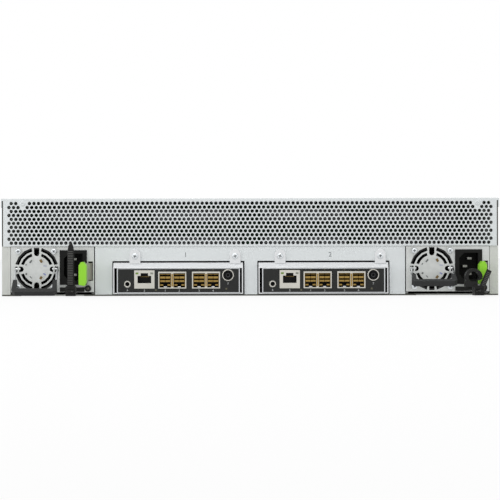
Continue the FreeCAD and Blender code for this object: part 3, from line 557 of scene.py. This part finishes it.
# foot, head, start beside the port's middle, and depth of its springs, in mm
spring_rows = ((8.9, 10.6, 1.7, 3.0), (12.3, 14.2, 0.05, 1.2), (15.4, 17.6, 0.05, 1.0),
               (18.9, 19.9, 0.05, 3.0))
spring_reach, spring_back = 4.8 * mm, 6 * mm
key_half, key_h = 1.5 * mm, 1.1 * mm
key_near, key_far = 0.4 * mm, 2 * mm
guide_inner, guide_outer, guide_top = 4.95 * mm, 5.25 * mm, 20.2 * mm
guide_near, guide_far = 0.6 * mm, 8 * mm
divider_half, divider_low, divider_high = 0.7 * mm, 8.4 * mm, 19.8 * mm

din_place, din_bore, din_rim = (45.4 * mm, 18.5 * mm), 4.3 * mm, 5.3 * mm
jack_place, jack_bore, jack_rim = (-44.9 * mm, 10.6 * mm), 1.9 * mm, 3.0 * mm
round_sockets = ((din_place, 4.6 * mm, 6.5 * mm), (jack_place, 2.2 * mm, 4.2 * mm))
post_profile = ((1.2, 7), (1.2, 1.2), (2.0, 1.0), (2.2, 7))      # radius and depth in mm
port_number_z, jack_number_z, din_number_z = 4.6 * mm, 5.2 * mm, 10.6 * mm
port_number_size = 2.9 * mm
status_lamps = ((-19.3, 5.2, 0.9), (43.9, 6.3, 0.9), (-10.9, 23.2, 0.55), (1.7, 23.2, 0.55),
                (19.4, 23.2, 0.55), (32.0, 23.2, 0.55))          # across, up and radius in mm
tab_screw_x = (-38.2 * mm, 51.8 * mm)
tab_screw_z, tab_screw_back = 35.6 * mm, 2.7 * mm
tab_screw_r, tab_screw_h = 2.8 * mm, 1.7 * mm


def turned_ring(shape, x, z, profile, steps=32):
    """Spins a profile of radius and depth about an axis along Y."""
    knots = [shape.verts.new((x + r, y, z)) for r, y in profile]
    wire = [shape.edges.new((knots[k], knots[(k + 1) % len(knots)])) for k in range(len(knots))]
    bmesh.ops.spin(shape, geom=knots + wire, cent=(x, 0, z), axis=(0, 1, 0), angle=2 * math.pi,
                   steps=steps, use_merge=True)
    bmesh.ops.remove_doubles(shape, verts=shape.verts, dist=0.002 * mm)


def group_of_slabs(name, blocks, body, finish, width=0.0):
    """A piece made of blocks, each given by two corners, rounded where a width is given."""
    shape = bmesh.new()
    for low, high in blocks:
        slab(shape, low, high)
    if width:
        round_edges(shape, width, segments=1)
    return finished(name, to_mesh(name, shape, shaded=width > 0), body, [finish])


def mirrored(middle, inner, outer, near, far, low, high):
    """Corners of two blocks that stand at equal distances to the left and right of a middle."""
    return [((middle - outer, near, low), (middle - inner, far, high)),
            ((middle + inner, near, low), (middle + outer, far, high))]


for number, centre in module_x.items():
    body = f"io_{number}"
    case_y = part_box(f"{body}_case")[0].y
    face_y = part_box(f"{body}_face")[0].y
    softened(f"{body}_shell", f"{body}_case", body, [hood_steel], 0.3 * mm)
    film_depth = face_y + 0.2 * mm
    softened(f"{body}_face_plate", f"{body}_face", body, [face_edge_steel, face_film],
             0.1 * mm,
             lambda face: int(face.calc_center_median().y < film_depth))

    # board with its sockets: solder mask, dark bores and bright shields by where a face lies
    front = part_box(f"{body}_board")[0].y

    def socket_finish(face):
        c = face.calc_center_median()
        x, z, depth = c.x - centre, c.z, c.y - front
        if depth > rear_plug_depth:
            return 1 if z > board_top + hair else 0
        if z <= board_top + hair / 2 and depth > bare_depth:
            return 0
        for (place_x, place_z), bore, rim in round_sockets:
            away = math.hypot(x - place_x, z - place_z)
            if away < rim:
                return 1 if away < bore else 2
        if abs(x - net_mid) < net_half + mm:
            in_mouth = abs(x - net_mid) < net_mouth_half and net_mouth_low < z < net_mouth_high
            return 1 if in_mouth and depth > hair else 2
        in_port = (any(abs(x - mid) < port_half + hair for mid in port_mids)
                   and port_floor - hair < z < port_roof)
        return 1 if in_port and depth > hair else 2

    softened(f"{body}_circuit", f"{body}_board", body, [board_green, socket_black, socket_shield],
             0.12 * mm, socket_finish)

    # gold springs of the storage ports, a key at the foot of each, and guides beside and between
    springs, keys, guides = [], [], []
    for mid in port_mids:
        for low, high, inner, deep in spring_rows:
            springs += mirrored(centre + mid, inner * mm, spring_reach, front + deep * mm,
                                front + spring_back, low * mm, high * mm)
        keys.append(((centre + mid - key_half, front + key_near, port_floor),
                     (centre + mid + key_half, front + key_far, port_floor + key_h)))
        guides += mirrored(centre + mid, guide_inner, guide_outer, front + guide_near,
                           front + guide_far, port_floor, guide_top)
    for left in port_pair_lefts:
        divider = centre + left + port_pitch
        guides.append(((divider - divider_half, front - 0.06 * mm, divider_low),
                       (divider + divider_half, front + 0.3 * mm, divider_high)))
    group_of_slabs(f"{body}_port_springs", springs, body, gold.material, 0.25 * mm)
    group_of_slabs(f"{body}_port_keys", keys, body, hood_steel, 0.3 * mm)
    group_of_slabs(f"{body}_port_guides", guides, body, gold.material)

    # network socket: eight gold contacts and two light windows
    contact_xs = [centre + net_mid + (k - 3.5) * contact_pitch for k in range(8)]
    contacts = [((x - contact_half, front + contact_near, contact_low),
                 (x + contact_half, front + contact_far, contact_high)) for x in contact_xs]
    group_of_slabs(f"{body}_net_contacts", contacts, body, gold.material)
    for side, window, glass in ((-1, "left", green_lens), (1, "right", grey_lens)):
        x = centre + net_mid + side * net_lamp_reach
        group_of_slabs(f"{body}_net_light_{window}",
                       [((x - net_lamp_half, front - 0.05 * mm, net_lamp_low),
                         (x + net_lamp_half, front + mm, net_lamp_high))],
                       body, glass, 0.1 * mm)

    # round service socket and small jack: polished rims and a centre post
    rims = bmesh.new()
    rim_front, rim_back = front - 0.1 * mm, front + 0.9 * mm
    for (x, z), outer, bore in ((din_place, din_rim, din_bore), (jack_place, jack_rim, jack_bore)):
        turned_ring(rims, centre + x, z,
                    [(bore, rim_back), (bore, front + 0.1 * mm), (bore + 0.2 * mm, rim_front),
                     (outer - 0.3 * mm, rim_front), (outer, front + 0.15 * mm), (outer, rim_back)])
    finished(f"{body}_socket_rims", to_mesh(f"{body}_socket_rims", rims), body, [socket_shield])
    post = bmesh.new()
    turned_ring(post, centre + din_place[0], din_place[1],
                [(radius * mm, front + depth * mm) for radius, depth in post_profile])
    finished(f"{body}_service_post", to_mesh(f"{body}_service_post", post), body, [chip_black])

    # printed numbers and status lights of the face
    marks = [(str(k + 1), centre + mid, port_number_z) for k, mid in enumerate(port_mids)]
    marks += [("5", centre + net_mid, port_number_z), ("6", centre + jack_place[0], jack_number_z),
              ("7", centre + din_place[0], din_number_z)]
    printed(f"{body}_port_numbers", marks, port_number_size, face_y, body, white_ink.material)
    lights = bmesh.new()
    lamp_near, lamp_far = face_y - 0.03 * mm, face_y + 0.3 * mm
    for x, z, radius in status_lamps:
        turned_ring(lights, centre + x * mm, z * mm,
                    [(0.05 * mm, lamp_near), (radius * mm, lamp_near), (radius * mm, lamp_far),
                     (0.05 * mm, lamp_far)], 12)
    finished(f"{body}_status_lights", to_mesh(f"{body}_status_lights", lights), body, [amber_lens])

    tab_places = [(centre + x, case_y + tab_screw_back, tab_screw_z) for x in tab_screw_x]
    screws(f"{body}_tab_screws", tab_places, tab_screw_r, tab_screw_h, body,
           [screw_plating, recess.material], [f"{body}_screws"])

# ---------------------------------------------------------------- power supplies
# Two slide-in supplies: a zinc-plated case with a fan guard stamped in its face, a black mains
# inlet, a wire bail with a moulded grip, a green thumb latch on a steel spring, and a cord clamp.


def galvanised(name, chip, shade):
    """Zinc-plated sheet: broad soft spangles with a dull, slightly uneven sheen."""
    zinc = Finish(name, metallic=0.75, roughness=0.4)
    spangle = zinc.node("ShaderNodeTexVoronoi", {"feature": "SMOOTH_F1"},
                        {"Vector": zinc.place, "Scale": 260.0})
    cloud = zinc.noise(45.0, 4.0)
    zinc.put("Base Color", zinc.mix(cloud * 0.6 + spangle * 0.5, chip, shade))
    zinc.put("Roughness", spangle * 0.2 + cloud * 0.12 + 0.26)
    zinc.relief(zinc.noise(800.0, 3.0), 0.05)
    return zinc.material


zinc_sheet = galvanised("zinc_sheet", colour(214, 216, 214), colour(186, 189, 187))
bail_wire = plated_metal("bail_wire", colour(220, 221, 222), colour(190, 192, 194), 0.25)
grip_plastic = moulded("grip_plastic", colour(46, 47, 47), 0.5, 1200.0, 0.3, 0.2)
inlet_plastic = moulded("inlet_plastic", colour(15, 15, 14), 0.45, shine=0.15)
blade_steel = bare_steel("latch_spring_steel", colour(186, 186, 168), colour(160, 160, 140), 0.36)
cap_plastic = moulded("latch_cap_plastic", colour(142, 208, 52), 0.42)
fan_plastic = moulded("fan_plastic", colour(24, 24, 25), 0.45)
nylon = moulded("black_nylon", colour(22, 22, 21), 0.45, shine=0.2)
# lighter grey nylon for the clamp rungs: painted highlight where light catches their ridges
rung_highlight_nylon = moulded("rung_highlight_nylon", colour(72, 72, 70), 0.5)
pin_plating = plated_metal("pin_plating", colour(150, 150, 146), colour(112, 112, 108), 0.45)
lamp_lens = lens("lamp_lens", colour(70, 66, 54), colour(96, 90, 74))

winding = Finish("copper_winding", metallic=0.3, roughness=0.5)
winding.put("Base Color", winding.mix(winding.noise(1500.0, 3.0), colour(128, 104, 58),
                                      colour(92, 74, 44)))
slot_shadow = Finish("slot_shadow", roughness=0.7)
slot_shadow.put("Base Color", slot_shadow.mix(slot_shadow.noise(1500.0), colour(70, 72, 72),
                                              colour(112, 114, 114)))
blue_ink = Finish("blue_ink", roughness=0.6)
blue_ink.put("Base Color", blue_ink.mix(blue_ink.noise(2500.0), colour(120, 126, 176),
                                        colour(150, 156, 190)))

# places across are taken from the left side of a supply's case
fan_u, fan_z = 23.2 * mm, 24.1 * mm
fan_screw_reach, fan_screw_r, fan_screw_h, fan_screw_turn = 16 * mm, 2.6 * mm, 1.5 * mm, 0.5
inlet_u = 56.2 * mm
pin_places = ((57.2 * mm, 33.0 * mm), (57.2 * mm, 19.0 * mm), (53.2 * mm, 26.0 * mm))
pin_half_x, pin_half_z = 2.05 * mm, 1.05 * mm
power_parts_z = 9.5 * mm            # the board's faces above this belong to its parts
bail_out, bail_z, bail_wire_end = 3.0 * mm, 24.4 * mm, 16.4 * mm
cap_start = 12.6 * mm               # the latch is a cap from here on
lamp_u, lamp_z, lamp_r = 69.6 * mm, 6.8 * mm, 1.5 * mm
lamp_depth, lamp_flatness = 0.2 * mm, 0.45
lamp_ring_profile = ((1.5, 1), (1.5, -0.6), (1.8, -0.8), (2.6, -0.75), (2.9, -0.4),
                     (2.9, 1))      # radius and depth in mm

# across and up from the fan's middle, width and height in mm, slant, and number of the finish
disc_marks = ((4.5, 7.4, 2.2, 3.0, -0.5, 0), (4.4, -7.6, 2.2, 2.8, 0.6, 0),
              (-4.7, 7.0, 1.4, 3.0, 0.7, 1), (-4.7, -7.2, 0.7, 2.6, -0.8, 1),
              (-8.8, -4.2, 1.6, 1.6, 0.4, 1), (-9.0, 4.1, 0.9, 1.6, 0.4, 1),
              (7.9, 3.0, 2.8, 0.6, 0.1, 2), (7.7, -4.4, 2.6, 1.3, 0.5, 2))
disc_finishes = [winding.material, slot_shadow.material, blue_ink.material]
mark_half_t = 0.03                  # in mm, as the marks are

for side in ("left", "right"):
    body = f"psu_{side}"
    left, face_y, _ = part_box(f"{body}_case")[0]

    softened(f"{body}_shell", f"{body}_case", body, [zinc_sheet], 0.2 * mm)
    softened(f"{body}_fan_body", f"{body}_fan_frame", body, [fan_plastic], 0.3 * mm)
    softened(f"{body}_fan_blades", f"{body}_fan_rotor", f"{body}_rotor", [fan_plastic],
             0.3 * mm)
    softened(f"{body}_power_board", f"{body}_board", body, [board_green, chip_black],
             0.3 * mm,
             lambda face: int(face.calc_center_median().z > power_parts_z))

    def on_pin(face):
        corners = [(v.co.x - left, v.co.z) for v in face.verts]
        return int(any(all(abs(x - pin_x) < pin_half_x and abs(z - pin_z) < pin_half_z
                           for x, z in corners) for pin_x, pin_z in pin_places))

    softened(f"{body}_mains_inlet", f"{body}_inlet", body, [inlet_plastic, pin_plating],
             0.25 * mm, on_pin)

    def on_grip(face):
        c = face.calc_center_median()
        return int(math.hypot(c.y - face_y + bail_out, c.z - bail_z) > bail_wire_end)

    softened(f"{body}_pull_bail", f"{body}_bail", f"{body}_bail", [bail_wire, grip_plastic],
             0.4 * mm, on_grip)
    softened(f"{body}_thumb_latch", f"{body}_latch", f"{body}_latch", [blade_steel, cap_plastic],
             0.9 * mm,
             lambda face: int(face.calc_center_median().y < face_y - cap_start), 3)
    softened(f"{body}_ladder_strap", f"{body}_tie_strap", body, [nylon], 0.3 * mm)
    softened(f"{body}_cable_clamp", f"{body}_cord_clamp", f"{body}_clamp", [nylon],
             0.3 * mm)

    fan_corners = [(left + fan_u + across * fan_screw_reach, face_y, fan_z + up * fan_screw_reach)
                   for across in (-1, 1) for up in (-1, 1)]
    screws(f"{body}_fan_screws", fan_corners, fan_screw_r, fan_screw_h, body,
           [screw_plating, recess.material], [f"{body}_screws_and_lamp"],
           fan_screw_turn)

    # status lamp: a black ring around a flattened bead
    ring = bmesh.new()
    turned_ring(ring, left + lamp_u, lamp_z,
                [(radius * mm, face_y + depth * mm) for radius, depth in lamp_ring_profile])
    finished(f"{body}_lamp_ring", to_mesh(f"{body}_lamp_ring", ring), body, [socket_black])
    bead = bmesh.new()
    bead_place = (left + lamp_u, face_y + lamp_depth, lamp_z)
    bmesh.ops.create_uvsphere(bead, u_segments=24, v_segments=12, radius=lamp_r,
                              matrix=Matrix.Translation(bead_place)
                              @ Matrix.Diagonal((1, lamp_flatness, 1, 1)))
    finished(f"{body}_lamp_lens", to_mesh(f"{body}_lamp_lens", bead), body, [lamp_lens])

    # small windows and marks on the guard's disc, as thin slanted chips on the sheet
    marks = bmesh.new()
    for across, up, width, height, slant, finish in disc_marks:
        corner = Vector((width / 2, mark_half_t, height / 2)) * mm
        chip = slab(marks, -corner, corner)["verts"]
        place = (left + fan_u + across * mm, face_y, fan_z + up * mm)
        bmesh.ops.transform(marks, verts=chip,
                            matrix=Matrix.Translation(place) @ Matrix.Rotation(slant, 4, "Y"))
        for face in {f for v in chip for f in v.link_faces}:
            face.material_index = finish
    finished(f"{body}_disc_marks", to_mesh(f"{body}_disc_marks", marks), body, disc_finishes)

# Rungs across the toothed faces of the left clamp's band and the right clamp's tail, in a lighter
# grey that is painted highlight where light catches them.
rung_pitch = 1.5                    # in mm
rung_edge = 0.15 * mm
tail_place = (2.2 * mm, 0, 7.4 * mm)
tail_turn, tail_lean = math.radians(8.0), math.radians(24.0)


def rungs(middle, half, near, far, low, high, count):
    """Corners of a row of rungs, each a pitch above the last. low, high and pitch are in mm."""
    return [((middle - half, near, (low + rung_pitch * k) * mm),
             (middle + half, far, (high + rung_pitch * k) * mm)) for k in range(count)]


left_edge, rear_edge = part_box("psu_left_case")[0].xy
band_rungs = rungs(middle=left_edge + inlet_u, half=2.3 * mm, near=rear_edge - 29.5 * mm,
                   far=rear_edge - 29.0 * mm, low=11, high=11.7, count=20)
group_of_slabs("psu_left_band_rungs", band_rungs, "psu_left_clamp", rung_highlight_nylon, rung_edge)

tail = bmesh.new()
for low, high in rungs(middle=0, half=1.8 * mm, near=-40.7 * mm, far=-40.2 * mm, low=1.9,
                       high=2.6, count=9):
    slab(tail, low, high)
round_edges(tail, rung_edge, segments=1)
right_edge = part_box("psu_right_case")[0].x
bmesh.ops.transform(tail, verts=tail.verts,
                    matrix=Matrix.Translation((right_edge + inlet_u, rear_edge, 0))
                    @ Matrix.Rotation(tail_turn, 4, "Z") @ Matrix.Translation(tail_place)
                    @ Matrix.Rotation(tail_lean, 4, "Y"))
finished("psu_right_tail_rungs", to_mesh("psu_right_tail_rungs", tail, shaded=True),
         "psu_right_clamp", [rung_highlight_nylon])

# ---------------------------------------------------------------- drive carriers and levers
# Twelve carriers fill the front in four columns of three. Each has a black moulded bezel on
# steel side rails, a drive in a cast aluminium body, and a vented lever across its bezel.
bezel_plastic = moulded("bezel_plastic", colour(46, 47, 49), 0.5)
lever_plastic = moulded("lever_plastic", colour(58, 60, 62), 0.45)
rail_steel = galvanised("rail_steel", colour(206, 208, 208), colour(180, 183, 184))
lever_screen = overlay_film("lever_screen_coat", colour(34, 35, 36), colour(42, 43, 44))

casting = Finish("drive_casting", metallic=0.8, roughness=0.42)
cast_grain = casting.noise(1200.0, 4.0, 0.6)
casting.put("Base Color", casting.mix(casting.noise(30.0, 3.0) * 0.6 + cast_grain * 0.3,
                                      colour(186, 188, 190), colour(160, 162, 165)))
casting.put("Roughness", cast_grain * 0.25 + 0.32)
casting.relief(cast_grain, 0.15)

bezel_depth = 12.1 * mm             # faces this near to the front belong to the bezel
rail_reach = 50.85 * mm             # and faces farther out than this to the side rails
screen_left, screen_right, screen_margin = 12.8 * mm, 12 * mm, 6.0 * mm
screen_lap, screen_back, screen_t = mm, 4.4 * mm, 0.8 * mm
screen_rows, screen_hole_share, screen_hole_sides = 3, 0.4, 6
light_left, light_right, light_depth = 4.2 * mm, 2.4 * mm, 6 * mm
light_set_back, light_h = 0.1 * mm, 2.6 * mm
carrier_lights = (("busy", green_lens, 8.2 * mm), ("fault", amber_lens, 13.0 * mm))

for number in range(1, 13):
    body, arm = f"carrier_{number:02d}", f"lever_{number:02d}"
    low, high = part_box(body)
    middle = (low.x + high.x) / 2
    bezel_back = high.y - bezel_depth

    def carrier_finish(face):
        c = face.calc_center_median()
        if c.y > bezel_back:
            return 0
        return 1 if abs(c.x - middle) > rail_reach else 2

    softened(f"{body}_tray_and_drive", body, body, [bezel_plastic, rail_steel, casting.material],
             0.35 * mm, carrier_finish)
    softened(f"{arm}_front", arm, arm, [lever_plastic], 0.45 * mm)

    # screen behind the lever's window, with rows of six-sided holes
    arm_low, arm_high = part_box(arm)
    x0, x1 = arm_low.x + screen_left, arm_high.x - screen_right
    z0, z1 = arm_low.z + screen_margin, arm_high.z - screen_margin
    screen_y = arm_high.y - screen_back
    step = (z1 - z0) / screen_rows
    count = int((x1 - x0) / step)
    pitch = (x1 - x0) / count
    outlines = [[(x0 - screen_lap, z0), (x1 + screen_lap, z0), (x1 + screen_lap, z1),
                 (x0 - screen_lap, z1)]]
    outlines += [circle(x0 + (k + 0.5) * pitch, z0 + (row + 0.5) * step,
                        screen_hole_share * step, screen_hole_sides)
                 for row in range(screen_rows) for k in range(count)]
    screen = cut_sheet(f"{arm}_screen", outlines, screen_y - screen_t, screen_y)
    finished(f"{arm}_screen", to_mesh(f"{arm}_screen", screen), arm, [lever_screen])
    for tag, glass, place in carrier_lights:
        window = ((high.x - light_left, high.y - light_depth, low.z + place),
                  (high.x - light_right, high.y - light_set_back, low.z + place + light_h))
        group_of_slabs(f"{body}_{tag}_light", [window], body, glass, 0.1 * mm)

# ---------------------------------------------------------------- inside
# Bay walls and drive cage are plain zinc-plated sheet. The midplane is a green board with black
# plugs for the drives in front of it and for the supplies and modules behind it.
softened("bay_walls", "bay_tunnels", "chassis", [zinc_sheet], 0.2 * mm)
softened("cage_shelves", "drive_cage", "chassis", [zinc_sheet], 0.2 * mm)
midplane_rear, midplane_front = 27.9 * mm, 31.1 * mm      # faces beyond these belong to plugs
softened("midplane_board", "midplane", "chassis", [board_green, chip_black],
         0.2 * mm,
         lambda face: int(not midplane_rear < face.calc_center_median().y < midplane_front))

# ---------------------------------------------------------------- studio
# White floor and surroundings, soft light from above and both sides, and a level camera straight
# behind the shelf at half its height.
floor_drop = 0.5 * mm
floor_grey, floor_glow, floor_glow_share, world_glow = 0.74, 1.04, 0.8, 0.5
lamp_aim = Vector((0, 0, 0.04))
view_distance, view_height = 2.0, 0.0437
view_lens = 160.272                 # in mm, on a frame 36 mm wide
view_shift, view_roll = -0.006, math.radians(0.13)

floor_shape = bmesh.new()
bmesh.ops.create_grid(floor_shape, x_segments=1, y_segments=1, size=6.0,
                      matrix=Matrix.Translation((0, 0, -floor_drop)))
floor_mesh = bpy.data.meshes.new("floor")
floor_shape.to_mesh(floor_mesh)
floor_shape.free()
floor = bpy.data.objects.new("floor", floor_mesh)
bpy.context.scene.collection.objects.link(floor)


def seen_or_mirrored(tree):
    """1 for rays that the camera, a mirror or glass sends."""
    path = tree.nodes.new("ShaderNodeLightPath")
    total = None
    for ray in ("Is Camera Ray", "Is Glossy Ray", "Is Transmission Ray"):
        step = tree.nodes.new("ShaderNodeMath")
        step.operation = "MAXIMUM"
        step.inputs[0].default_value = 0
        if total:
            tree.links.new(total, step.inputs[0])
        tree.links.new(path.outputs[ray], step.inputs[1])
        total = step.outputs[0]
    return total


def blended(tree, share, first, second, output):
    """Mixes two shaders by the share of the second and leads them to the tree's output."""
    blend = tree.nodes.new("ShaderNodeMixShader")
    for socket, source in enumerate((share, first.outputs[0], second.outputs[0])):
        tree.links.new(source, blend.inputs[socket])
    tree.links.new(blend.outputs[0], tree.nodes[output].inputs["Surface"])


paper = bpy.data.materials.new("floor_paper")
paper.use_nodes = True
tree = paper.node_tree
matt = tree.nodes["Principled BSDF"]
matt.inputs["Roughness"].default_value = 0.9
matt.inputs["Base Color"].default_value = (floor_grey, floor_grey, floor_grey, 1)
glow = tree.nodes.new("ShaderNodeEmission")
glow.inputs["Strength"].default_value = floor_glow
share = tree.nodes.new("ShaderNodeMath")
share.operation = "MULTIPLY"
share.inputs[1].default_value = floor_glow_share
tree.links.new(seen_or_mirrored(tree), share.inputs[0])
blended(tree, share.outputs[0], matt, glow, "Material Output")
floor_mesh.materials.append(paper)

world = bpy.data.worlds.new("studio")
bpy.context.scene.world = world
world.use_nodes = True
tree = world.node_tree
soft = tree.nodes["Background"]
soft.inputs["Color"].default_value = (1, 1, 1, 1)
soft.inputs["Strength"].default_value = world_glow
bright = tree.nodes.new("ShaderNodeBackground")
bright.inputs["Strength"].default_value = 1.0
bright.inputs["Color"].default_value = (1, 1, 1, 1)
blended(tree, seen_or_mirrored(tree), soft, bright, "World Output")

for name, place, power, size in (("over_rear", (-0.3, -1.5, 1.6), 16, 1.6),
                                 ("rear_left", (-1.6, -1.2, 0.5), 7, 1.2),
                                 ("rear_right", (1.6, -1.2, 0.4), 5, 1.2),
                                 ("over_front", (0.4, 1.6, 1.5), 12, 1.6)):
    lamp = bpy.data.lights.new(name, "AREA")
    lamp.energy = power
    lamp.size = size
    holder = bpy.data.objects.new(name, lamp)
    bpy.context.scene.collection.objects.link(holder)
    holder.location = place
    holder.rotation_euler = (lamp_aim - Vector(place)).to_track_quat("-Z", "Y").to_euler()

view = bpy.data.cameras.new("rear_view")
view.lens = view_lens
view.shift_y = view_shift
camera = bpy.data.objects.new("rear_view", view)
bpy.context.scene.collection.objects.link(camera)
camera.matrix_world = (Matrix.Translation((0, panel_y - view_distance, view_height))
                       @ Matrix.Rotation(math.pi / 2, 4, "X")
                       @ Matrix.Rotation(-view_roll, 4, "Z"))
bpy.context.scene.camera = camera
bpy.context.scene.view_settings.view_transform = "Standard"
